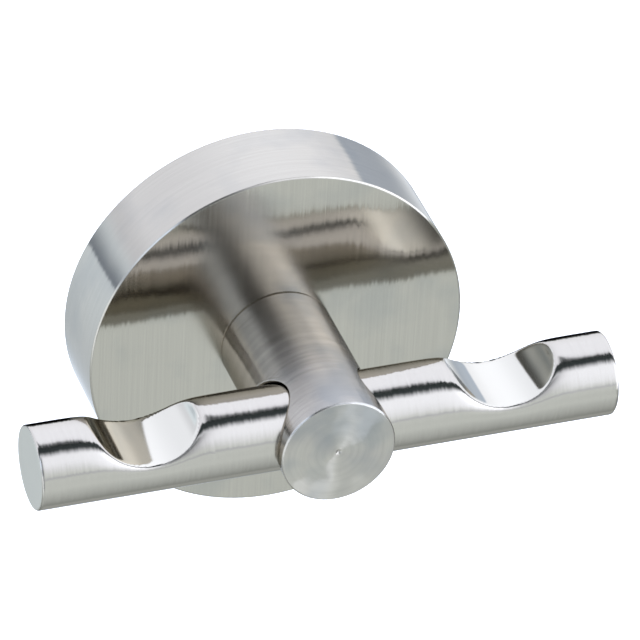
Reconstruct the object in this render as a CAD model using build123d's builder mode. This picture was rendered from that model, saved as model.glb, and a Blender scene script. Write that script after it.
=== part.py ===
from build123d import *
import os

# A wall hook for towels: a round rose on the wall, a post out of its centre and a cross rod through the post.
# X runs along the cross rod, Y into the wall, Z up. The origin is on the wall, at the centre of the rose.
# Sizes are in millimetres. A depth is measured out from the wall, along -Y.

# Rose cover: a round cup, open towards the wall
rose_radius = 27.5
rose_depth = 12.7
rose_wall = 2.0
rose_face = 2.0
rose_edge_break = 0.2
rose_inner_break = 0.6
rose_rim_break = 0.3

# Post: a straight turned bar that stands on the rose. Its cross bore leaves this wall to the tip.
post_radius = 8.25
post_length = 27.0
post_tip_wall = 1.45
post_tip_break = 0.2
tip_mark_radius = 0.45
tip_mark_depth = 0.2
post_base_break = 0.2

# Cross rod: a round bar through the post's bore
rod_radius = 6.0
rod_length = 84.0
rod_end_break = 0.3
bore_clearance = 0.25
bore_break = 0.3

# Notches: round scoops across the rod's top, one near each end
notch_spacing = 52.0
notch_radius = 8.6
notch_floor_above_axis = 1.15
notch_lip_break = 0.15

# Post screw, with a plain nose that enters the cross rod
screw_radius = 2.5
screw_head_radius = 4.75
screw_head_height = 2.75
screw_head_rim = 0.3
screw_dome_drop = 2.0
screw_socket_flats = 3.0
screw_socket_depth = 1.6
screw_nose_radius = 1.75
screw_nose_length = 4.2
screw_nose_depth_in_rod = 3.5
screw_nose_break = 0.4
screw_hole_clearance = 0.25
nose_clearance = 0.15
thread_clearance = 0.05

# Split spring washer under the head of the post screw
washer_thickness = 1.2
washer_band = 2.0
washer_clearance = 0.1
washer_slit = 0.5
washer_slit_angle = 20.0

# Locating pin between the rose and the post, below the screw
pin_radius = 1.25
pin_offset = 6.1
pin_depth_in_post = 4.0
pin_break = 0.25
pin_clearance = 0.05
pin_end_room = 0.3

# Wall bracket: a dish with a grooved rim, inside the rose
bracket_height = 8.0
bracket_floor = 2.5
bracket_rim = 4.0
bracket_clearance = 0.3
bracket_break = 0.4
groove_depth = 2.0
wall_hole_radius = 2.5
wall_hole_spacing = 30.0

# Set screw in the underside of the rose, with a cone point
set_screw_radius = 2.0
set_screw_tip_radius = 0.5
set_screw_recess = 0.3
set_screw_socket_flats = 2.0
set_screw_socket_depth = 1.2
set_screw_seat_gap = 0.1

# Depths from the wall, and places, that follow from the sizes above
rose_inside_depth = rose_depth - rose_face
rose_inner_radius = rose_radius - rose_wall
bore_radius = rod_radius + bore_clearance
post_tip_depth = rose_depth + post_length
rod_axis_depth = post_tip_depth - post_tip_wall - bore_radius
notch_axis_above_rod = notch_floor_above_axis + notch_radius
screw_seat_depth = rose_inside_depth - washer_thickness
screw_dome_centre_at = screw_head_rim - screw_dome_drop - screw_seat_depth
screw_dome_radius = (screw_head_radius**2 + screw_dome_drop**2) ** 0.5
screw_nose_end_depth = rod_axis_depth - rod_radius + screw_nose_depth_in_rod
screw_thread_end_depth = screw_nose_end_depth - screw_nose_length
washer_inner_radius = screw_radius + washer_clearance
bracket_radius = rose_inner_radius - bracket_clearance
set_screw_depth = bracket_height / 2
groove_floor_radius = bracket_radius - groove_depth
# Screw point and groove both slope at 45 degrees, so the gap between them opens by the root of two.
set_screw_tip_at = groove_floor_radius + set_screw_tip_radius + set_screw_seat_gap * 2**0.5
set_screw_end_at = rose_radius - set_screw_recess

# Wall bracket: a dish that is screwed to the wall. A vee groove runs round its rim for the set screw.
with BuildPart() as wall_bracket:
    with BuildSketch(Plane.XZ):
        Circle(bracket_radius)
    extrude(amount=bracket_height)
    with BuildSketch(Plane.XZ.offset(bracket_floor)):
        Circle(bracket_radius - bracket_rim)
    extrude(amount=bracket_height - bracket_floor, mode=Mode.SUBTRACT)
    chamfer(wall_bracket.edges().group_by(Axis.Y)[0], bracket_break)
    with BuildSketch(Plane.XY):
        with BuildLine():
            Polyline(
                (groove_floor_radius, -set_screw_depth),
                (bracket_radius, -set_screw_depth - groove_depth),
                (bracket_radius, -set_screw_depth + groove_depth),
                close=True,
            )
        make_face()
    revolve(axis=Axis.Y, mode=Mode.SUBTRACT)
    with BuildSketch(Plane.XZ):
        with GridLocations(0, wall_hole_spacing, 1, 2):
            Circle(wall_hole_radius)
    extrude(amount=bracket_floor, mode=Mode.SUBTRACT)
wall_bracket.part.label = "wall_bracket"

# Rose cover: a cup with a broken front edge. It slips over the bracket and its rim meets the wall.
with BuildPart() as rose_cover:
    with BuildSketch(Plane.XZ):
        Circle(rose_radius)
    extrude(amount=rose_depth)
    chamfer(rose_cover.edges().group_by(Axis.Y)[0], rose_edge_break)
    with BuildSketch(Plane.XZ):
        Circle(rose_inner_radius)
    extrude(amount=rose_inside_depth, mode=Mode.SUBTRACT)
    chamfer(rose_cover.edges(Select.LAST).group_by(Axis.Y)[0], rose_inner_break)
    chamfer(rose_cover.edges().group_by(Axis.Y)[-1], rose_rim_break)
    # Holes through the face, for the post screw and the locating pin
    with BuildSketch(Plane.XZ.offset(rose_inside_depth)):
        Circle(screw_radius + screw_hole_clearance)
        with Locations((0, -pin_offset)):
            Circle(pin_radius + pin_clearance)
    extrude(amount=rose_face, mode=Mode.SUBTRACT)
    # Tapped hole through the underside of the wall, for the set screw
    with BuildSketch(Plane.XY.offset(-rose_radius)):
        with Locations((0, -set_screw_depth)):
            Circle(set_screw_radius + thread_clearance)
    extrude(amount=2 * rose_wall, mode=Mode.SUBTRACT)
rose_cover.part.label = "rose_cover"

# Post: a turned bar with a cross bore, and holes in its back end for the screw and the pin
with BuildPart() as post:
    with BuildSketch(Plane.XZ.offset(rose_depth)):
        Circle(post_radius)
    extrude(amount=post_length)
    chamfer(post.edges().group_by(Axis.Y)[0], post_tip_break)
    chamfer(post.edges().group_by(Axis.Y)[-1], post_base_break)
    # Centre mark that the lathe left in the tip
    with BuildSketch(Plane.XY):
        with BuildLine():
            Polyline(
                (0, -post_tip_depth),
                (tip_mark_radius, -post_tip_depth),
                (0, tip_mark_depth - post_tip_depth),
                close=True,
            )
        make_face()
    revolve(axis=Axis.Y, mode=Mode.SUBTRACT)
    with BuildSketch(Plane.YZ):
        with Locations((-rod_axis_depth, 0)):
            Circle(bore_radius)
    extrude(amount=post_radius, both=True, mode=Mode.SUBTRACT)
    bore_edges = post.edges(Select.LAST)
    chamfer(bore_edges.group_by(Axis.X)[0] + bore_edges.group_by(Axis.X)[-1], bore_break)
    with BuildSketch(Plane.XZ.offset(rose_depth)):
        Circle(screw_radius + thread_clearance)
    extrude(amount=rod_axis_depth - rose_depth, mode=Mode.SUBTRACT)
    with BuildSketch(Plane.XZ.offset(rose_depth)):
        with Locations((0, -pin_offset)):
            Circle(pin_radius + pin_clearance)
    extrude(amount=pin_depth_in_post + pin_end_room, mode=Mode.SUBTRACT)
post.part.label = "post"

# Cross rod: a bar with two scooped notches. The hole in its back takes the nose of the post screw.
with BuildPart() as cross_rod:
    with BuildSketch(Plane.YZ):
        with Locations((-rod_axis_depth, 0)):
            Circle(rod_radius)
    extrude(amount=rod_length / 2, both=True)
    chamfer(cross_rod.edges().filter_by(GeomType.CIRCLE), rod_end_break)
    with BuildSketch(Plane.XZ.offset(rod_axis_depth)):
        with Locations((0, notch_axis_above_rod)):
            with GridLocations(notch_spacing, 0, 2, 1):
                Circle(notch_radius)
    extrude(amount=rod_radius, both=True, mode=Mode.SUBTRACT)
    chamfer(cross_rod.edges(Select.LAST), notch_lip_break)
    with BuildSketch(Plane.XZ.offset(rod_axis_depth - rod_radius)):
        Circle(screw_nose_radius + nose_clearance)
    extrude(amount=screw_nose_depth_in_rod + nose_clearance, mode=Mode.SUBTRACT)
cross_rod.part.label = "cross_rod"

# Post screw: a low domed head with a hexagon socket, a threaded shank and a plain nose
with BuildPart() as post_screw:
    with BuildSketch(Plane.XZ.offset(screw_seat_depth)):
        Circle(screw_head_radius)
    extrude(amount=-screw_head_height)
    with Locations((0, screw_dome_centre_at, 0)):
        Sphere(screw_dome_radius, mode=Mode.INTERSECT)
    with BuildSketch(Plane.XZ.offset(screw_seat_depth - screw_head_height)):
        RegularPolygon(screw_socket_flats / 2, 6, major_radius=False)
    extrude(amount=screw_socket_depth, mode=Mode.SUBTRACT)
    with BuildSketch(Plane.XZ.offset(screw_seat_depth)):
        Circle(screw_radius)
    extrude(amount=screw_thread_end_depth - screw_seat_depth)
    with BuildSketch(Plane.XZ.offset(screw_thread_end_depth)):
        Circle(screw_nose_radius)
    extrude(amount=screw_nose_length)
    chamfer(post_screw.edges().group_by(Axis.Y)[0], screw_nose_break)
post_screw.part.label = "post_screw"

# Lock washer: a split ring, drawn pressed flat between the screw head and the rose
with BuildPart() as lock_washer:
    with BuildSketch(Plane.XZ.offset(screw_seat_depth)):
        Circle(washer_inner_radius + washer_band)
        Circle(washer_inner_radius, mode=Mode.SUBTRACT)
        with Locations((0, washer_inner_radius + washer_band / 2)):
            Rectangle(washer_slit, 2 * washer_band, rotation=washer_slit_angle, mode=Mode.SUBTRACT)
    extrude(amount=washer_thickness)
lock_washer.part.label = "lock_washer"

# Locating pin: a short dowel that keeps the post from turning on the rose
with BuildPart() as locating_pin:
    with BuildSketch(Plane.XZ.offset(rose_inside_depth)):
        with Locations((0, -pin_offset)):
            Circle(pin_radius)
    extrude(amount=rose_face + pin_depth_in_post)
    chamfer(locating_pin.edges().filter_by(GeomType.CIRCLE), pin_break)
locating_pin.part.label = "locating_pin"

# Set screw: turned from one bar, with its cone point up in the bracket's groove
with BuildPart() as set_screw:
    with BuildSketch(Plane.XZ.offset(set_screw_depth)):
        with BuildLine():
            Polyline(
                (0, -set_screw_end_at),
                (set_screw_radius, -set_screw_end_at),
                (set_screw_radius, -set_screw_tip_at - set_screw_radius + set_screw_tip_radius),
                (set_screw_tip_radius, -set_screw_tip_at),
                (0, -set_screw_tip_at),
                close=True,
            )
        make_face()
    revolve(axis=Axis((0, -set_screw_depth, 0), (0, 0, 1)))
    with BuildSketch(Plane.XY.offset(-set_screw_end_at)):
        with Locations((0, -set_screw_depth)):
            RegularPolygon(set_screw_socket_flats / 2, 6, major_radius=False)
    extrude(amount=set_screw_socket_depth, mode=Mode.SUBTRACT)
set_screw.part.label = "set_screw"

os.makedirs("parts", exist_ok=True)
export_step(wall_bracket.part, "parts/wall_bracket.step")
export_step(rose_cover.part, "parts/rose_cover.step")
export_step(post.part, "parts/post.step")
export_step(cross_rod.part, "parts/cross_rod.step")
export_step(post_screw.part, "parts/post_screw.step")
export_step(lock_washer.part, "parts/lock_washer.step")
export_step(locating_pin.part, "parts/locating_pin.step")
export_step(set_screw.part, "parts/set_screw.step")
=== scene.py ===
import math

import bmesh
import bpy
from mathutils import Matrix, Vector


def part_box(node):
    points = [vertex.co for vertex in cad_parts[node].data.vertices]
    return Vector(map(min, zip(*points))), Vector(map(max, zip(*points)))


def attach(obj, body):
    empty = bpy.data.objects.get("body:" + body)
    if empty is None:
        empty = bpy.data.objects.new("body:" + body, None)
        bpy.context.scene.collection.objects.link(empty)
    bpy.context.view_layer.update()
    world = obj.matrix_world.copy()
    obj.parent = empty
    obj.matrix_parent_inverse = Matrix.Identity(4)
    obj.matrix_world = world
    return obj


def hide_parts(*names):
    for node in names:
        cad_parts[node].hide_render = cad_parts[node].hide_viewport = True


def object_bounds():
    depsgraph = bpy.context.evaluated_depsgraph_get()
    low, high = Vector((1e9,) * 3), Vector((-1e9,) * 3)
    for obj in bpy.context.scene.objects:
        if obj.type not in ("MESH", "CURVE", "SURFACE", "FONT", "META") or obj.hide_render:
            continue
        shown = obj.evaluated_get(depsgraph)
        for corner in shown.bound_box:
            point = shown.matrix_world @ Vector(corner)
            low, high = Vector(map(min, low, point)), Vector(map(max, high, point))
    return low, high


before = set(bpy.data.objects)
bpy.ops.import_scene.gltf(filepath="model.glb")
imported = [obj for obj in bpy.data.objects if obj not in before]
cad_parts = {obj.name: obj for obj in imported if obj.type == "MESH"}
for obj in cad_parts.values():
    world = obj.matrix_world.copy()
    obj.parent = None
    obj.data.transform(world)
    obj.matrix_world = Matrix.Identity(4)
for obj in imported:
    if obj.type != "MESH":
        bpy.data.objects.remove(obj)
cad_low, cad_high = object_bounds()
scene = bpy.context.scene

# Camera
# The hook is seen from above and from its left, from far away, so the rod and the post hardly taper.
# The camera is tipped a little, which is why the rod climbs to the right.
image_side = 640
focal_pixels = 6179
view_azimuth = math.radians(-20.552)
view_elevation = math.radians(35.669)
view_roll = math.radians(3.128)
view_distance = 0.86463
aim = Vector((0.004592, -0.017234, 0.005855))

towards_camera = Vector((
    math.sin(view_azimuth) * math.cos(view_elevation),
    -math.cos(view_azimuth) * math.cos(view_elevation),
    math.sin(view_elevation),
))
level_right = (-towards_camera).cross(Vector((0, 0, 1))).normalized()
level_up = level_right.cross(-towards_camera)
camera_right = math.cos(view_roll) * level_right + math.sin(view_roll) * level_up
camera_up = math.cos(view_roll) * level_up - math.sin(view_roll) * level_right
placing = Matrix((camera_right, camera_up, towards_camera)).transposed().to_4x4()
placing.translation = aim + view_distance * towards_camera
lens = bpy.data.cameras.new("camera")
lens.sensor_width = 36
lens.lens = lens.sensor_width * focal_pixels / image_side
lens.clip_end = 20
camera = bpy.data.objects.new("camera", lens)
scene.collection.objects.link(camera)
camera.matrix_world = placing
scene.camera = camera
scene.view_settings.view_transform = "Standard"


# Studio light
# Steel shows what stands round it, so the light is a white tent: a pale floor, a big soft box in front, a
# dark gap between that and the white roof and back, a dark join low at the back and the dark of the camera.
def add(tree, kind, inputs=None, **settings):
    """A node with its settings, each named input linked if it is given a socket and set otherwise."""
    made = tree.nodes.new(kind)
    for name, value in settings.items():
        setattr(made, name, value)
    for name, value in (inputs or {}).items():
        if isinstance(value, bpy.types.NodeSocket):
            tree.links.new(value, made.inputs[name])
        else:
            made.inputs[name].default_value = value
    return made


def calc(tree, operation, *values):
    """The result of a math node."""
    return add(tree, "ShaderNodeMath", dict(enumerate(values)), operation=operation).outputs[0]


def blend(tree, factor, first, second):
    """A colour between two others."""
    return add(tree, "ShaderNodeMix", {"Factor": factor, 6: first, 7: second}, data_type="RGBA").outputs[2]


def shaded(colour, share):
    """A colour made lighter or darker, as a list with its alpha."""
    return [part * share for part in colour] + [1]


def new_group(name, kind, inputs, outputs):
    """A node group with named inputs and outputs, given as (name, kind of value, default)."""
    tree = bpy.data.node_groups.new(name, kind)
    for label, value_kind, default in inputs:
        made = tree.interface.new_socket(label, in_out="INPUT", socket_type="NodeSocket" + value_kind)
        if default is not None:
            made.default_value = default
    for label, value_kind in outputs:
        tree.interface.new_socket(label, in_out="OUTPUT", socket_type="NodeSocket" + value_kind)
    return tree, tree.nodes.new("NodeGroupInput").outputs, tree.nodes.new("NodeGroupOutput").inputs


card_tree, card_in, card_out = new_group("studio_card", "ShaderNodeTree", [
    ("Turn", "Float", 0.0), ("Side", "Float", 0.0),
    ("Start", "Float", 0.0), ("Start Fade", "Float", 10.0), ("Start Slant", "Float", 0.0),
    ("End", "Float", 90.0), ("End Fade", "Float", 10.0), ("End Slant", "Float", 0.0),
    ("Left", "Float", -2.0), ("Left Fade", "Float", 0.1),
    ("Right", "Float", 2.0), ("Right Fade", "Float", 0.1),
], [("Mask", "Float")])


def card_edge(name, value, rising=True):
    """0 to 1 over the fade at one edge of a card, or 1 to 0."""
    half_fade = calc(card_tree, "MULTIPLY", card_in[name + " Fade"], 0.5)
    return add(card_tree, "ShaderNodeMapRange", {
        "Value": value,
        "From Min": calc(card_tree, "SUBTRACT", card_in[name], half_fade),
        "From Max": calc(card_tree, "ADD", card_in[name], half_fade),
        "To Min": 0.0 if rising else 1.0,
        "To Max": 1.0 if rising else 0.0,
    }, interpolation_type="SMOOTHSTEP").outputs["Result"]


def slanted(name):
    """The turn round the rod, more or less of it the further it is to the side."""
    return calc(card_tree, "MULTIPLY_ADD", card_in["Side"], card_in[name + " Slant"], card_in["Turn"])


across = calc(card_tree, "MULTIPLY",
              card_edge("Left", card_in["Side"]), card_edge("Right", card_in["Side"], rising=False))
along = calc(card_tree, "MULTIPLY",
             card_edge("Start", slanted("Start")), card_edge("End", slanted("End"), rising=False))
card_tree.links.new(calc(card_tree, "MULTIPLY", across, along), card_out["Mask"])

world = bpy.data.worlds.new("studio")
scene.world = world
world.use_nodes = True
sky = world.node_tree
sky.nodes.clear()
aim_axes = add(sky, "ShaderNodeSeparateXYZ", {"Vector": add(sky, "ShaderNodeTexCoord").outputs["Generated"]})
frontwards = calc(sky, "MULTIPLY", aim_axes.outputs["Y"], -1.0)
downwards = calc(sky, "MULTIPLY", aim_axes.outputs["Z"], -1.0)
# Turn goes round the rod's axis, in degrees: 0 straight down, 90 in front, 180 overhead, 270 at the wall.
# Side goes along the axis, from -1 at the left to 1 at the right.
swing = calc(sky, "DEGREES", calc(sky, "ARCTAN2", frontwards, downwards))
turn = calc(sky, "FLOORED_MODULO", swing, 360.0)
side = aim_axes.outputs["X"]

olive = (1.028, 1.138, 1.205)
white = (1.04, 1.138, 1.29)
clear = (1.05, 1.125, 1.335)
cool = (1.057, 1.138, 1.345)
frost = (0.97, 1.12, 1.34)
shade = (0.96, 1.15, 1.5)
dusk = (0.85, 1.13, 1.3)
sky_blue = (0.98, 1.17, 1.55)

floor_edge = 58.0
floor_below = 0.44
floor_ahead = 0.85
floor_glow = add(sky, "ShaderNodeMapRange", {
    "Value": swing, "From Max": floor_edge, "To Min": floor_below, "To Max": floor_ahead,
}).outputs[0]
light = blend(sky, floor_glow, (0, 0, 0, 1), shaded(olive, 1.0))


def studio_card(behind, tint, brightness, start, end, left=(-2, 0.1), right=(2, 0.1),
                start_slant=0.0, end_slant=0.0):
    """Lays a card or a dark flag over the light behind it. An edge is its place and the width of its fade."""
    mask = add(sky, "ShaderNodeGroup", {
        "Turn": turn, "Side": side,
        "Start": start[0], "Start Fade": start[1], "Start Slant": start_slant,
        "End": end[0], "End Fade": end[1], "End Slant": end_slant,
        "Left": left[0], "Left Fade": left[1], "Right": right[0], "Right Fade": right[1],
    }, node_tree=card_tree).outputs["Mask"]
    return blend(sky, mask, behind, shaded(tint, brightness))


# The seam between floor and soft box, the soft box, lower and brighter to the right, and the gap behind it
light = studio_card(light, white, 0.66, (88, 5), (94, 5), right=(0.5, 0.2))
light = studio_card(light, cool, 1.46, (114, 38), (240, 4))
light = studio_card(light, cool, 1.46, (98, 30), (240, 4), left=(0.29, 0.08))
light = studio_card(light, cool, 2.45, (74, 8), (240, 20), left=(0.51, 0.15))
light = studio_card(light, dusk, 0.055, (154, 20), (240, 8))
# The front is duller on the left, and two dark flags stand low on the right
light = studio_card(light, olive, 0.66, (-20, 10), (70, 10), right=(-0.08, 0.4))
light = studio_card(light, shade, 0.66, (64, 10), (112, 30), right=(-0.08, 0.4))
light = studio_card(light, shade, 1.40, (118, 30), (152, 20), right=(-0.3, 0.2))
light = studio_card(light, white, 0.30, (-20, 10), (44, 8), left=(0.42, 0.1))
light = studio_card(light, white, 0.04, (56, 6), (73, 6), left=(0.46, 0.06), right=(0.62, 0.06))
# The roof and the back of the tent are brighter to the right, where the gap also reaches further back
light = studio_card(light, clear, 1.14, (178, 3), (268, 6))
light = studio_card(light, clear, 0.92, (252, 12), (268, 6), right=(-0.5, 0.1))
light = studio_card(light, clear, 1.40, (178, 3), (268, 6), left=(-0.05, 0.8))
light = studio_card(light, clear, 1.37, (178, 3), (222, 12), left=(0.05, 0.2))
light = studio_card(light, clear, 1.34, (224, 12), (268, 6), left=(0.55, 0.12))
light = studio_card(light, dusk, 0.04, (170, 4), (201.2, 3), left=(0.03, 0.1), end_slant=66)
# The floor and the skirt of the tent at the back, paler to the right but for one dull fold
light = studio_card(light, olive, 0.60, (326, 14), (354, 10), left=(0.1, 0.2))
light = studio_card(light, frost, 1.07, (262, 6), (322, 20))
light = studio_card(light, white, 1.25, (262, 6), (322, 20), left=(0.1, 0.3))
light = studio_card(light, olive, 0.42, (300, 10), (332, 10), left=(0.25, 0.08), right=(0.42, 0.08))
# The dark join at the back, with a blue strip on the left and one on the right
light = studio_card(light, white, 0.0, (264, 6), (300, 14), left=(-0.2, 0.3), right=(0.42, 0.18))
light = studio_card(light, sky_blue, 0.30, (270, 16), (299, 2), right=(-0.35, 0.3), end_slant=-34)
light = studio_card(light, sky_blue, 0.72, (380, 6), (290, 26), left=(0.5, 0.1), right=(0.7, 0.1),
                    start_slant=195)
# A bright card low on the far left, then the camera and who stands behind it
light = studio_card(light, white, 1.35, (30, 20), (96, 16), right=(-0.46, 0.12))
light = studio_card(light, white, 0.34, (60, 20), (112, 10), left=(-0.44, 0.16), right=(-0.06, 0.2))
light = studio_card(light, white, 0.14, (104, 20), (150, 10), left=(-0.51, 0.14), right=(0.05, 0.5))

tent_strength = 1.22
seen = add(sky, "ShaderNodeLightPath").outputs["Is Camera Ray"]
tent = add(sky, "ShaderNodeBackground", {"Color": light, "Strength": tent_strength})
paper = add(sky, "ShaderNodeBackground", {"Color": (1, 1, 1, 1)})
shown = add(sky, "ShaderNodeMixShader", {0: seen, 1: tent.outputs[0], 2: paper.outputs[0]})
add(sky, "ShaderNodeOutputWorld", {"Surface": shown.outputs[0]})

# Floor
# A plain pale table, half a metre below, so that no shadow falls in the picture. Only the camera sees it:
# what the steel shows of the floor is in the studio light.
floor_drop = 0.5
floor_radius = 30.0
floor_mesh = bpy.data.meshes.new("floor")
shape = bmesh.new()
bmesh.ops.create_circle(shape, cap_ends=True, segments=96, radius=floor_radius)
bmesh.ops.translate(shape, verts=shape.verts, vec=(0, 0, cad_low.z - floor_drop))
shape.to_mesh(floor_mesh)
shape.free()
paint = bpy.data.materials.new("pale_floor")
paint.use_nodes = True
paint_shader = paint.node_tree.nodes["Principled BSDF"]
paint_shader.inputs["Base Color"].default_value = (0.9, 0.9, 0.9, 1)
paint_shader.inputs["Roughness"].default_value = 0.9
paint_shader.inputs["Emission Color"].default_value = (1, 1, 1, 1)
paint_shader.inputs["Emission Strength"].default_value = 0.6
floor_mesh.materials.append(paint)
floor = bpy.data.objects.new("floor", floor_mesh)
scene.collection.objects.link(floor)
floor.visible_glossy = False
floor.visible_diffuse = False


# Rose cover
# The round cup that hides the fixing, of stainless steel, held on the wall bracket by its set screw. Its side
# is brushed round and round, its face in straight hairlines from top to bottom, with a fine broken edge.
def vector_calc(tree, operation, *values):
    """The result of a vector math node."""
    return add(tree, "ShaderNodeVectorMath", dict(enumerate(values)), operation=operation).outputs[0]


def scaled(tree, vector, scale):
    """A vector, or a colour, times a number."""
    return add(tree, "ShaderNodeVectorMath", {0: vector, "Scale": scale}, operation="SCALE").outputs[0]


def centred(tree, colour):
    """The colour of a noise as a vector that strays to all sides of nought."""
    return vector_calc(tree, "SUBTRACT", colour, (0.5, 0.5, 0.5))


grain_tree, grain_in, grain_out = new_group("brushed_grain", "ShaderNodeTree", [
    ("Vector", "Vector", None), ("Place", "Vector", None), ("Smudge Size", "Float", 90.0),
], [("Lines", "Float"), ("Smudges", "Float"), ("Height", "Float")])
fine_lines = add(grain_tree, "ShaderNodeTexNoise", {
    "Vector": grain_in["Vector"], "Scale": 1.0, "Detail": 4.0, "Roughness": 0.62,
})
odd_scratches = add(grain_tree, "ShaderNodeTexNoise", {
    "Vector": grain_in["Vector"], "Scale": 0.37, "Detail": 2.0, "Roughness": 0.5,
})
smudges = add(grain_tree, "ShaderNodeTexNoise", {
    "Vector": grain_in["Place"], "Scale": grain_in["Smudge Size"], "Detail": 3.0, "Roughness": 0.5,
})
scratch = add(grain_tree, "ShaderNodeMapRange", {
    "Value": odd_scratches.outputs["Fac"], "From Min": 0.62, "From Max": 0.78,
}).outputs[0]
scratch_depth = calc(grain_tree, "MULTIPLY", scratch, 0.5)
height = calc(grain_tree, "SUBTRACT", fine_lines.outputs["Fac"], scratch_depth)
grain_tree.links.new(fine_lines.outputs["Fac"], grain_out["Lines"])
grain_tree.links.new(smudges.outputs["Fac"], grain_out["Smudges"])
grain_tree.links.new(height, grain_out["Height"])

# Edges found by a bevel, in patches: they are rounded and polished smoother, and their colour is partly wear
# and partly painted light, a painted highlight where it is made lighter and painted shade where it is made
# darker.
edge_wear_and_light_tree, edge_wear_and_light_in, edge_wear_and_light_out = new_group("worn_and_light_painted_edges", "ShaderNodeTree", [
    ("Width", "Float", 0.0003), ("Place", "Vector", None),
], [("Mask", "Float"), ("Normal", "Vector")])
rounded = add(edge_wear_and_light_tree, "ShaderNodeBevel", {"Radius": edge_wear_and_light_in["Width"]}, samples=4).outputs[0]
bend = add(edge_wear_and_light_tree, "ShaderNodeVectorMath", {
    0: rounded, 1: add(edge_wear_and_light_tree, "ShaderNodeNewGeometry").outputs["Normal"],
}, operation="DOT_PRODUCT").outputs["Value"]
edge = add(edge_wear_and_light_tree, "ShaderNodeMapRange", {"Value": bend, "From Min": 0.995, "From Max": 0.90}).outputs[0]
patches = add(edge_wear_and_light_tree, "ShaderNodeTexNoise", {"Vector": edge_wear_and_light_in["Place"], "Scale": 700.0, "Detail": 2.0})
patchy = calc(edge_wear_and_light_tree, "ADD", patches.outputs["Fac"], 0.35)
edge_wear_and_light_tree.links.new(calc(edge_wear_and_light_tree, "MULTIPLY", edge, patchy), edge_wear_and_light_out["Mask"])
edge_wear_and_light_tree.links.new(rounded, edge_wear_and_light_out["Normal"])

# The brush strays along its lines, and the hand on it leaves the ground slightly wavy
comb_tree, comb_in, comb_out = new_group("combed_lines", "ShaderNodeTree", [
    ("Vector", "Vector", None), ("Place", "Vector", None), ("Normal", "Vector", None),
    ("Across", "Vector", None), ("Amount", "Float", 0.1),
    ("Wave Size", "Float", 100.0), ("Waves", "Float", 0.0),
], [("Normal", "Vector")])
strands = add(comb_tree, "ShaderNodeTexNoise", {
    "Vector": comb_in["Vector"], "Scale": 1.0, "Detail": 2.0, "Roughness": 0.5,
})
stray = calc(comb_tree, "SUBTRACT", strands.outputs["Fac"], 0.5)
along_lines = vector_calc(comb_tree, "CROSS_PRODUCT", comb_in["Normal"], comb_in["Across"])
leaned = scaled(comb_tree, along_lines, calc(comb_tree, "MULTIPLY", stray, comb_in["Amount"]))
combed = vector_calc(comb_tree, "ADD", comb_in["Normal"], leaned)
ground_waves = add(comb_tree, "ShaderNodeTexNoise", {
    "Vector": comb_in["Place"], "Scale": comb_in["Wave Size"], "Detail": 1.5,
})
swell = scaled(comb_tree, centred(comb_tree, ground_waves.outputs["Color"]), comb_in["Waves"])
wavy = vector_calc(comb_tree, "ADD", combed, swell)
comb_tree.links.new(vector_calc(comb_tree, "NORMALIZE", wavy), comb_out["Normal"])


def on_the_front(tree):
    """1 on faces that look away from the wall, 0 on the sides."""
    normal = add(tree, "ShaderNodeNewGeometry").outputs["Normal"]
    facing = add(tree, "ShaderNodeSeparateXYZ", {"Vector": normal}).outputs["Y"]
    return add(tree, "ShaderNodeMapRange", {"Value": facing, "From Min": -0.75, "From Max": -0.95}).outputs[0]


smudge_colour = (0.66, 0.72, 0.8)
metal_tint = (0.62, 0.60, 0.57, 1)
edge_polish = 0.04


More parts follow.
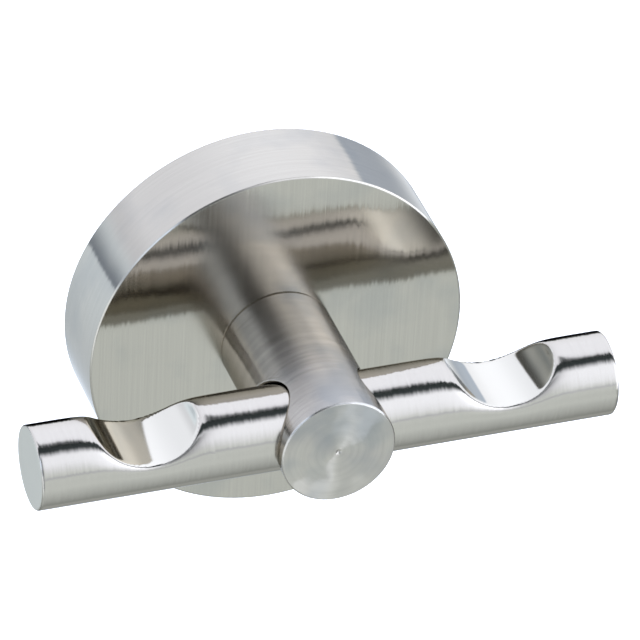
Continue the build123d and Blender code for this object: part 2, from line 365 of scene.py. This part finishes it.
def steel(name, colour, pattern, roughness, anisotropy, depth=2e-6, tone=0.06, spread=0.05,
          wear=0.0002, edge_wear_and_light=1.2, wander=0.0, waves=0.0, wave_size=100.0, stain=0.0,
          front_roughness=None, front_painted_light=1.0):
    """A bare steel. Its pattern gives the stretched coordinates of its grain, and how its light is smeared.

    The grain sways the colour by tone, the roughness by spread and the light by wander and waves."""
    material = bpy.data.materials.new(name)
    material.use_nodes = True
    tree = material.node_tree
    tree.nodes.clear()
    place = add(tree, "ShaderNodeTexCoord").outputs["Object"]
    vector, smear = pattern(tree, place)
    front = on_the_front(tree)
    grain = add(tree, "ShaderNodeGroup", {"Vector": vector, "Place": place}, node_tree=grain_tree).outputs
    edges = add(tree, "ShaderNodeGroup", {"Width": wear, "Place": place}, node_tree=edge_wear_and_light_tree).outputs

    ground = blend(tree, grain["Lines"], shaded(colour, 1 - tone), shaded(colour, 1 + tone))
    cloud = add(tree, "ShaderNodeMapRange", {
        "Value": grain["Smudges"], "From Min": 0.5, "From Max": 0.68, "To Max": stain,
    }).outputs[0]
    smudged = [part * left for part, left in zip(colour, smudge_colour)] + [1]
    clouded = blend(tree, cloud, ground, smudged)
    # Wear mixed with painted light: the edges' colour is made lighter by default, a painted highlight, or
    # darker, painted shade, as each steel asks.
    wear_and_light_edged = blend(tree, edges["Mask"], clouded, shaded(colour, edge_wear_and_light))
    # Painted light: faces that look away from the wall get their colour made brighter or darker by a share of
    # their own.
    painted_front_colour = scaled(tree, wear_and_light_edged, calc(tree, "MULTIPLY_ADD", front, front_painted_light - 1.0, 1.0))

    front_change = front_roughness - roughness if front_roughness else 0.0
    ground_sheen = calc(tree, "MULTIPLY_ADD", front, front_change, roughness - spread)
    sheen = calc(tree, "MULTIPLY_ADD", grain["Lines"], 2 * spread, ground_sheen)
    sheen = calc(tree, "MULTIPLY_ADD", grain["Smudges"], spread, sheen)
    sheen = calc(tree, "SUBTRACT", sheen, calc(tree, "MULTIPLY", edges["Mask"], edge_polish))
    relief = add(tree, "ShaderNodeBump", {
        "Height": grain["Height"], "Distance": depth, "Strength": 1.0, "Normal": edges["Normal"],
    }).outputs[0]
    combed_normal = add(tree, "ShaderNodeGroup", {
        "Vector": vector, "Place": place, "Normal": relief, "Across": smear,
        "Amount": wander, "Waves": waves, "Wave Size": wave_size,
    }, node_tree=comb_tree).outputs["Normal"]
    shader = add(tree, "ShaderNodeBsdfPrincipled", {
        "Base Color": painted_front_colour, "Metallic": 1.0, "Roughness": sheen, "Anisotropic": anisotropy,
        "Normal": combed_normal, "Tangent": smear, "Specular Tint": metal_tint,
    })
    add(tree, "ShaderNodeOutputMaterial", {"Surface": shader.outputs[0]})
    return material


def stretched(tree, place, waves_a_metre):
    """Object coordinates stretched by so many waves a metre along each axis."""
    return vector_calc(tree, "MULTIPLY", place, waves_a_metre)


def direction(tree, place, along_axis):
    """A fixed direction, for the smear of a grain that runs across it."""
    return vector_calc(tree, "ADD", vector_calc(tree, "MULTIPLY", place, (0, 0, 0)), along_axis)


def pick(tree, chooser, first, second):
    """The first vector where the chooser is 0, the second where it is 1."""
    return add(tree, "ShaderNodeMix", {"Factor": chooser, 4: first, 5: second}, data_type="VECTOR").outputs[1]


def rose_grain(tree, place):
    """Lines round the side, and hairlines down the face."""
    front = on_the_front(tree)
    vector = pick(tree, front, stretched(tree, place, (60, 4500, 60)), stretched(tree, place, (3200, 60, 45)))
    smear = pick(tree, front, direction(tree, place, (0, 1, 0)), direction(tree, place, (1, 0, 0)))
    return vector, smear


def coat(node, finish):
    """Gives a piece that comes from the part's source its finish."""
    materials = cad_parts[node].data.materials
    materials.clear()
    materials.append(finish)


# Painted shade: the rose's edges get a colour darker than its steel, which dulls the bright line along its
# rim.
coat("rose_cover", steel(
    "rose_steel", (0.435, 0.404, 0.346), rose_grain, roughness=0.11, anisotropy=0.93, depth=5e-7, tone=0.09,
    spread=0.02, edge_wear_and_light=0.72, wander=0.03, waves=0.03, wave_size=110.0, stain=0.35, front_roughness=0.12,
))


# Post
# A turned stainless bar that stands on the rose, pulled onto it by the post screw from behind. The lathe left
# rings on its tip and fine lines round its side, and the mouth of the cross bore has a small bright chamfer.
def off_the_axis(tree, place):
    """The way from the post's axis to a place."""
    return vector_calc(tree, "MULTIPLY", place, (1, 0, 1))


def radial(tree, place):
    """The direction away from the post's axis."""
    return vector_calc(tree, "NORMALIZE", off_the_axis(tree, place))


def lathe_rings(tree, place, rings_a_metre):
    """Rings round the post's axis, a little uneven along their way."""
    distance = add(tree, "ShaderNodeVectorMath", {
        0: off_the_axis(tree, place),
    }, operation="LENGTH").outputs["Value"]
    rings = add(tree, "ShaderNodeCombineXYZ", {"X": calc(tree, "MULTIPLY", distance, rings_a_metre)})
    unevenness = stretched(tree, place, (90, 90, 90))
    return vector_calc(tree, "ADD", rings.outputs[0], unevenness)


def chatter(tree, place, strength):
    """How far the smear of the rings strays from the radius, where the tool has chattered."""
    rough_spots = add(tree, "ShaderNodeTexNoise", {"Vector": place, "Scale": 230.0, "Detail": 2.0})
    return scaled(tree, centred(tree, rough_spots.outputs["Color"]), strength)


def post_grain(tree, place):
    """Lines round the side, and the rings of the lathe on the tip."""
    front = on_the_front(tree)
    tip_rings = lathe_rings(tree, place, rings_a_metre=1500.0)
    vector = pick(tree, front, stretched(tree, place, (60, 2200, 60)), tip_rings)
    rings_smear = vector_calc(tree, "ADD", radial(tree, place), chatter(tree, place, strength=2.4))
    smear = pick(tree, front, direction(tree, place, (0, 1, 0)), rings_smear)
    return vector, smear


bar_colour = (0.459, 0.426, 0.373)
# Painted light: the post's tip is given a colour 1.12 times as bright as its side, and its edges, the bore's
# chamfer among them, are painted lighter as a painted highlight.
coat("post", steel(
    "post_steel", bar_colour, post_grain, roughness=0.21, anisotropy=0.88, depth=2e-6, tone=0.2, spread=0.03,
    wander=0.04, waves=0.04, wave_size=160.0, stain=0.8, front_roughness=0.34, front_painted_light=1.12,
))


# Cross rod
# A stainless bar through the post, locked by the nose of the post screw. Two scoops are milled across its top
# and polished, which rolled its surface over at their lips. Its barrel is brushed round and round, and its
# ends are faced flat.
def barrel_grain(tree, place):
    """Lines round the bar."""
    return stretched(tree, place, (4500, 240, 240)), direction(tree, place, (1, 0, 0))


def scoop_grain(tree, place):
    """Faint lines along the cutter's way."""
    return stretched(tree, place, (500, 60, 500)), direction(tree, place, (0, 1, 0))


def end_grain(tree, place):
    """Lines across the end."""
    return stretched(tree, place, (60, 500, 900)), direction(tree, place, (0, 0, 1))


rod_steel = steel(
    "rod_steel", bar_colour, barrel_grain, roughness=0.12, anisotropy=0.8, depth=5e-7, spread=0.03,
    wander=0.1,
)
scoop_steel = steel(
    "scoop_steel", (0.55, 0.52, 0.45), scoop_grain, roughness=0.08, anisotropy=0.3, depth=3e-7, tone=0.02,
    spread=0.01,
)
end_steel = steel("rod_end_steel", (0.51, 0.485, 0.41), end_grain, roughness=0.28, anisotropy=0.5)

rod_low, rod_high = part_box("cross_rod")
rod_radius = -rod_low.z
rod_depth = (rod_low.y + rod_high.y) / 2
bar_tree, bar_in, bar_out = new_group("scooped_bar", "GeometryNodeTree", [
    ("Length", "Float", rod_high.x - rod_low.x), ("Radius", "Float", rod_radius),
    ("Axis Depth", "Float", rod_depth), ("End Round", "Float", 0.0003),
    ("Scoop Spacing", "Float", 0.052), ("Scoop Radius", "Float", 0.0086), ("Scoop Height", "Float", 0.00975),
    ("Lip Roll", "Float", 0.00030), ("Roll Width", "Float", 0.0009), ("Lip Round", "Float", 0.0005),
    ("Hole Radius", "Float", 0.0019), ("Hole Depth", "Float", 0.00365),
    ("Rows", "Int", 460), ("Columns", "Int", 180),
    ("Barrel", "Material", None), ("Scoop", "Material", None), ("End", "Material", None),
], [("Geometry", "Geometry")])


def bar(operation, *values):
    """The result of a math node in the bar's tree."""
    return calc(bar_tree, operation, *values)


def squared(value):
    """The square of a value in the bar's tree."""
    return bar("MULTIPLY", value, value)


def place_axes(tree):
    """The X, Y and Z of each point of a mesh."""
    return add(tree, "ShaderNodeSeparateXYZ", {
        "Vector": add(tree, "GeometryNodeInputPosition").outputs[0],
    }).outputs


# A flat sheet is rolled into the bar: one way along it goes across an end, along the barrel and across the
# other end, and the other way is the angle round the axis.
half_length = bar("MULTIPLY", bar_in["Length"], 0.5)
straight = bar("SUBTRACT", half_length, bar_in["End Round"])
face_radius = bar("SUBTRACT", bar_in["Radius"], bar_in["End Round"])
face_start = bar("MULTIPLY_ADD", bar_in["End Round"], math.pi / 2, straight)
half_sheet = bar("ADD", face_start, face_radius)
sheet = add(bar_tree, "GeometryNodeMeshGrid", {
    "Size X": bar("MULTIPLY", half_sheet, 2.0), "Size Y": 2 * math.pi,
    "Vertices X": bar_in["Rows"], "Vertices Y": bar_in["Columns"],
})
sheet_axes = place_axes(bar_tree)
run = bar("ABSOLUTE", sheet_axes["X"])
angle = sheet_axes["Y"]
past_straight = bar("DIVIDE", bar("SUBTRACT", run, straight), bar_in["End Round"])
corner = bar("MINIMUM", bar("MAXIMUM", past_straight, 0.0), math.pi / 2)
x_size = bar("MULTIPLY_ADD", bar("SINE", corner), bar_in["End Round"], bar("MINIMUM", run, straight))
x_place = bar("MULTIPLY", x_size, bar("SIGN", sheet_axes["X"]))
on_face = bar("MAXIMUM", bar("SUBTRACT", run, face_start), 0.0)
corner_radius = bar("MULTIPLY_ADD", bar("COSINE", corner), bar_in["End Round"], face_radius)
plain_radius = bar("SUBTRACT", corner_radius, on_face)

# The scoop's floor, and how far the barrel is from it, for the roll of the lips
least_rise = 0.05
half_spacing = bar("MULTIPLY", bar_in["Scoop Spacing"], 0.5)
sideways_squared = squared(bar("SUBTRACT", x_size, half_spacing))
reach_squared = bar("SUBTRACT", squared(bar_in["Scoop Radius"]), sideways_squared)
reach = bar("SQRT", bar("MAXIMUM", reach_squared, 0.0))
floor_height = bar("SUBTRACT", bar_in["Scoop Height"], reach)
rise = bar("SINE", angle)
scoop_radius = bar("DIVIDE", floor_height, bar("MAXIMUM", rise, least_rise))
below = bar("SUBTRACT", bar_in["Scoop Height"], bar("MULTIPLY", plain_radius, rise))
distance = bar("SQRT", bar("ADD", sideways_squared, squared(below)))
from_scoop = bar("SUBTRACT", distance, bar_in["Scoop Radius"])
outside = bar("MULTIPLY", bar("MAXIMUM", from_scoop, 0.0), -1.0)
fading = bar("EXPONENT", bar("DIVIDE", outside, bar_in["Roll Width"]))
rolled = bar("SUBTRACT", plain_radius, bar("MULTIPLY", fading, bar_in["Lip Roll"]))
bar_radius = bar("SMOOTH_MIN", rolled, scoop_radius, bar_in["Lip Round"])
bar_place = add(bar_tree, "ShaderNodeCombineXYZ", {
    "X": x_place,
    "Y": bar("SUBTRACT", bar_in["Axis Depth"], bar("MULTIPLY", bar_radius, bar("COSINE", angle))),
    "Z": bar("MULTIPLY", bar_radius, rise),
}).outputs[0]
rolled_up = add(bar_tree, "GeometryNodeSetPosition", {
    "Geometry": sheet.outputs["Mesh"], "Position": bar_place,
})
weld_distance = 0.000005
welded = add(bar_tree, "GeometryNodeMergeByDistance", {
    "Geometry": rolled_up.outputs[0], "Distance": weld_distance,
})

# The hole at the back, which takes the nose of the post screw
drill = add(bar_tree, "GeometryNodeMeshCylinder", {
    "Vertices": 40, "Radius": bar_in["Hole Radius"], "Depth": bar("MULTIPLY", bar_in["Hole Depth"], 2.0),
})
drill_place = add(bar_tree, "ShaderNodeCombineXYZ", {"Y": bar("ADD", bar_in["Axis Depth"], bar_in["Radius"])})
placed_drill = add(bar_tree, "GeometryNodeTransform", {
    "Geometry": drill.outputs["Mesh"], "Translation": drill_place.outputs[0], "Rotation": (math.pi / 2, 0, 0),
})
drilled = add(bar_tree, "GeometryNodeMeshBoolean", {"Mesh 1": welded.outputs[0]}, operation="DIFFERENCE")
bar_tree.links.new(placed_drill.outputs[0], drilled.inputs["Mesh 2"])
smooth = add(bar_tree, "GeometryNodeSetShadeSmooth", {"Geometry": drilled.outputs["Mesh"]})

# Each face gets the finish of where it lies: in a scoop, at an end or on the barrel
scoop_skin = 0.00006
end_skin = 0.0001
bar_axes = place_axes(bar_tree)
x_now = bar("ABSOLUTE", bar_axes["X"])
side_now = bar("SUBTRACT", x_now, half_spacing)
up_now = bar("SUBTRACT", bar_in["Scoop Height"], bar_axes["Z"])
reach_now = bar("SQRT", bar("ADD", squared(side_now), squared(up_now)))
in_scoop = bar("LESS_THAN", reach_now, bar("ADD", bar_in["Scoop Radius"], scoop_skin))
at_end = bar("GREATER_THAN", x_now, bar("SUBTRACT", half_length, end_skin))
whole = add(bar_tree, "GeometryNodeRealizeInstances", {"Geometry": smooth.outputs[0]})
coated = whole.outputs[0]
for area, finish in (True, "Barrel"), (in_scoop, "Scoop"), (at_end, "End"):
    coated = add(bar_tree, "GeometryNodeSetMaterial", {
        "Geometry": coated, "Selection": area, "Material": bar_in[finish],
    }).outputs[0]
bar_tree.links.new(coated, bar_out["Geometry"])


def grown(name, tree, values, start=None):
    """A plain mesh object made by a Geometry Nodes tree, with its inputs set by name."""
    seed = bpy.data.objects.new(name + "_seed", start or bpy.data.meshes.new(name + "_seed"))
    scene.collection.objects.link(seed)
    modifier = seed.modifiers.new("grow", "NODES")
    modifier.node_group = tree
    for socket in tree.interface.items_tree:
        if socket.in_out == "INPUT" and socket.name in values:
            modifier[socket.identifier] = values[socket.name]
    evaluated = seed.evaluated_get(bpy.context.evaluated_depsgraph_get())
    mesh = bpy.data.meshes.new_from_object(evaluated)
    mesh.name = name
    bpy.data.objects.remove(seed)
    piece = bpy.data.objects.new(name, mesh)
    scene.collection.objects.link(piece)
    return piece


rod = grown("scooped_rod", bar_tree, {"Barrel": rod_steel, "Scoop": scoop_steel, "End": end_steel})
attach(rod, "root")
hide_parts("cross_rod")


# Wall bracket
# A dish turned from steel bar and zinc plated, which leaves it a little cloudy. Two screws hold its floor to
# the wall, and the groove in its rim takes the set screw of the rose.
def turned_grain(tree, place):
    """Rings round the post's axis, coarser than those on the tip."""
    return lathe_rings(tree, place, rings_a_metre=1200.0), radial(tree, place)


coat("wall_bracket", steel(
    "zinc_plate", (0.45, 0.42, 0.375), turned_grain, roughness=0.30, anisotropy=0.5, depth=3e-6, tone=0.08,
    spread=0.06, wear=0.0003, stain=0.25,
))


# Post screw
# A stainless screw with a low domed head and a hexagon socket, driven from inside the rose. It pulls the post
# onto the rose, and its plain nose enters the cross rod and locks it. The blank is turned, the thread rolled.
def turned_blank(name, outline, sides=60):
    """A closed blank turned round Z, from (height, radius) points."""
    shape = bmesh.new()
    rings = [
        [
            shape.verts.new((
                radius * math.cos(2 * math.pi * step / sides),
                radius * math.sin(2 * math.pi * step / sides),
                height,
            ))
            for step in range(sides)
        ]
        for height, radius in outline
    ]
    for lower, upper in zip(rings, rings[1:]):
        for step in range(sides):
            shape.faces.new((lower[step - 1], lower[step], upper[step], upper[step - 1]))
    shape.faces.new(reversed(rings[0]))
    shape.faces.new(rings[-1])
    blank = bpy.data.meshes.new(name)
    shape.to_mesh(blank)
    shape.free()
    return blank


screw_tree, screw_in, screw_out = new_group("socket_screw", "GeometryNodeTree", [
    ("Blank", "Geometry", None), ("Thread Start", "Float", 0.0), ("Thread End", "Float", 0.01),
    ("Thread Radius", "Float", 0.0025), ("Thread Depth", "Float", 0.0004), ("Pitch", "Float", 0.0008),
    ("Socket Flats", "Float", 0.003), ("Socket Depth", "Float", 0.0016),
    ("Place", "Vector", None), ("Turned", "Vector", None), ("Finish", "Material", None),
], [("Geometry", "Geometry")])


def cut(operation, *values):
    """The result of a math node in the screw's tree."""
    return calc(screw_tree, operation, *values)


# The groove of the thread winds down the blank and fades out over one pitch at either end
shank_skin = 0.00002
blank_axes = place_axes(screw_tree)
outward = add(screw_tree, "ShaderNodeCombineXYZ", {"X": blank_axes["X"], "Y": blank_axes["Y"]}).outputs[0]
off_axis = add(screw_tree, "ShaderNodeVectorMath", {0: outward}, operation="LENGTH").outputs["Value"]
round_turns = cut("DIVIDE", cut("ARCTAN2", blank_axes["Y"], blank_axes["X"]), 2 * math.pi)
winding = cut("FRACT", cut("SUBTRACT", cut("DIVIDE", blank_axes["Z"], screw_in["Pitch"]), round_turns))
groove = cut("ABSOLUTE", cut("MULTIPLY_ADD", winding, 2.0, -1.0))
run_in = cut("DIVIDE", cut("SUBTRACT", blank_axes["Z"], screw_in["Thread Start"]), screw_in["Pitch"])
run_out = cut("DIVIDE", cut("SUBTRACT", screw_in["Thread End"], blank_axes["Z"]), screw_in["Pitch"])
fade = cut("MINIMUM", cut("MAXIMUM", cut("MINIMUM", run_in, run_out), 0.0), 1.0)
depth_here = cut("MULTIPLY", cut("MULTIPLY", groove, fade), screw_in["Thread Depth"])
inward = scaled(screw_tree, vector_calc(screw_tree, "NORMALIZE", outward), cut("MULTIPLY", depth_here, -1.0))
off_shank = cut("ABSOLUTE", cut("SUBTRACT", off_axis, screw_in["Thread Radius"]))
threaded = add(screw_tree, "GeometryNodeSetPosition", {
    "Geometry": screw_in["Blank"], "Selection": cut("LESS_THAN", off_shank, shank_skin), "Offset": inward,
})

# The hexagon socket is broached into the end at height nought
crease_angle = 0.5
key = add(screw_tree, "GeometryNodeMeshCylinder", {
    "Vertices": 6, "Radius": cut("DIVIDE", screw_in["Socket Flats"], 3 ** 0.5),
    "Depth": cut("MULTIPLY", screw_in["Socket Depth"], 2.0),
})
broached = add(screw_tree, "GeometryNodeMeshBoolean", {"Mesh 1": threaded.outputs[0]}, operation="DIFFERENCE")
screw_tree.links.new(key.outputs["Mesh"], broached.inputs["Mesh 2"])
rounded_faces = add(screw_tree, "GeometryNodeSetShadeSmooth", {"Geometry": broached.outputs["Mesh"]})
edge_angle = add(screw_tree, "GeometryNodeInputMeshEdgeAngle").outputs["Unsigned Angle"]
creased = add(screw_tree, "GeometryNodeSetShadeSmooth", {
    "Geometry": rounded_faces.outputs[0], "Selection": cut("GREATER_THAN", edge_angle, crease_angle),
    "Shade Smooth": False,
}, domain="EDGE")
put = add(screw_tree, "GeometryNodeTransform", {
    "Geometry": creased.outputs[0], "Translation": screw_in["Place"], "Rotation": screw_in["Turned"],
})
solid = add(screw_tree, "GeometryNodeRealizeInstances", {"Geometry": put.outputs[0]})
finished = add(screw_tree, "GeometryNodeSetMaterial", {
    "Geometry": solid.outputs[0], "Material": screw_in["Finish"],
})
screw_tree.links.new(finished.outputs[0], screw_out["Geometry"])


def fine_grain(tree, place):
    """Fine lines round a small turned piece."""
    return stretched(tree, place, (900, 1400, 900)), direction(tree, place, (0, 1, 0))


def steps_between(start, end, steps):
    """So many steps from start to end, both included."""
    return [start + (end - start) * step / steps for step in range(steps + 1)]


screw_steel = steel(
    "screw_steel", (0.47, 0.45, 0.41), fine_grain, roughness=0.24, anisotropy=0.4, depth=2e-6, wear=0.00015,
)
screw_low, screw_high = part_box("post_screw")
screw_length = screw_high.y - screw_low.y
head_radius = screw_high.x
head_height = 0.00275
head_rim = 0.0003
dome_drop = 0.002
shank_radius = 0.0025
nose_radius = 0.00175
nose_length = 0.0042
nose_break = 0.0004
thread_pitch = 0.0008
thread_depth = 0.00042
socket_flats = 0.003
socket_depth = 0.0016
rings_a_pitch = 12
dome_steps = 12

dome_radius = math.hypot(head_radius, dome_drop)
dome_height = head_height - head_rim
shank_end = screw_length - nose_length
shank_steps = round((shank_end - head_height) / thread_pitch * rings_a_pitch)
outline = [
    (height, math.sqrt(dome_radius ** 2 - (dome_drop + dome_height - height) ** 2))
    for height in steps_between(0, dome_height, dome_steps)
]
outline += [(head_height, head_radius)]
outline += [(height, shank_radius) for height in steps_between(head_height, shank_end, shank_steps)]
outline += [(shank_end, nose_radius), (screw_length - nose_break, nose_radius)]
outline += [(screw_length, nose_radius - nose_break)]
post_screw = grown("domed_socket_screw", screw_tree, {
    "Thread Start": head_height + thread_pitch, "Thread End": shank_end, "Thread Radius": shank_radius,
    "Thread Depth": thread_depth, "Pitch": thread_pitch,
    "Socket Flats": socket_flats, "Socket Depth": socket_depth,
    "Place": (0, screw_high.y, 0), "Turned": (math.pi / 2, 0, 0), "Finish": screw_steel,
}, start=turned_blank("screw_blank", outline))
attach(post_screw, "root")
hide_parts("post_screw")

# Lock washer
# A split ring of spring steel, blued by its hardening, pressed flat between the head of the screw and the
# rose. The edges of its slit bite into both, so the screw can't work loose.
coat("lock_washer", steel(
    "spring_steel", (0.26, 0.27, 0.30), turned_grain, roughness=0.33, anisotropy=0.3, depth=2e-6, tone=0.1,
    spread=0.06, wear=0.0002, stain=0.6,
))

# Locating pin
# A short hardened dowel, ground round and round. It sits in a hole of the rose and a hole of the post, and
# keeps the rod level while the screw is driven.
coat("locating_pin", steel(
    "ground_pin", (0.50, 0.49, 0.46), fine_grain, roughness=0.16, anisotropy=0.6, depth=1e-6, tone=0.04,
    wear=0.00015,
))

# Set screw
# A stainless grub screw in the underside of the rose. Its cone point rises into the bracket's groove and
# draws the rose to the wall, and a key reaches its hexagon socket from below.
grub_low, grub_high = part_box("set_screw")
grub_length = grub_high.z - grub_low.z
grub_radius = grub_high.x
grub_point_radius = 0.0005
grub_mouth_break = 0.0002
grub_pitch = 0.0007
grub_thread_depth = 0.00036
grub_socket_flats = 0.002
grub_socket_depth = 0.0012
cone_start = grub_length - (grub_radius - grub_point_radius)
grub_steps = round((cone_start - grub_mouth_break) / grub_pitch * rings_a_pitch)
grub_outline = [(0, grub_radius - grub_mouth_break)]
grub_outline += [(height, grub_radius) for height in steps_between(grub_mouth_break, cone_start, grub_steps)]
grub_outline += [(grub_length, grub_point_radius)]
set_screw = grown("cone_set_screw", screw_tree, {
    "Thread Start": 0.0, "Thread End": cone_start + grub_pitch / 2, "Thread Radius": grub_radius,
    "Thread Depth": grub_thread_depth, "Pitch": grub_pitch,
    "Socket Flats": grub_socket_flats, "Socket Depth": grub_socket_depth,
    "Place": (0, (grub_low.y + grub_high.y) / 2, grub_low.z), "Turned": (0, 0, 0), "Finish": screw_steel,
}, start=turned_blank("grub_blank", grub_outline))
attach(set_screw, "root")
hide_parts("set_screw")
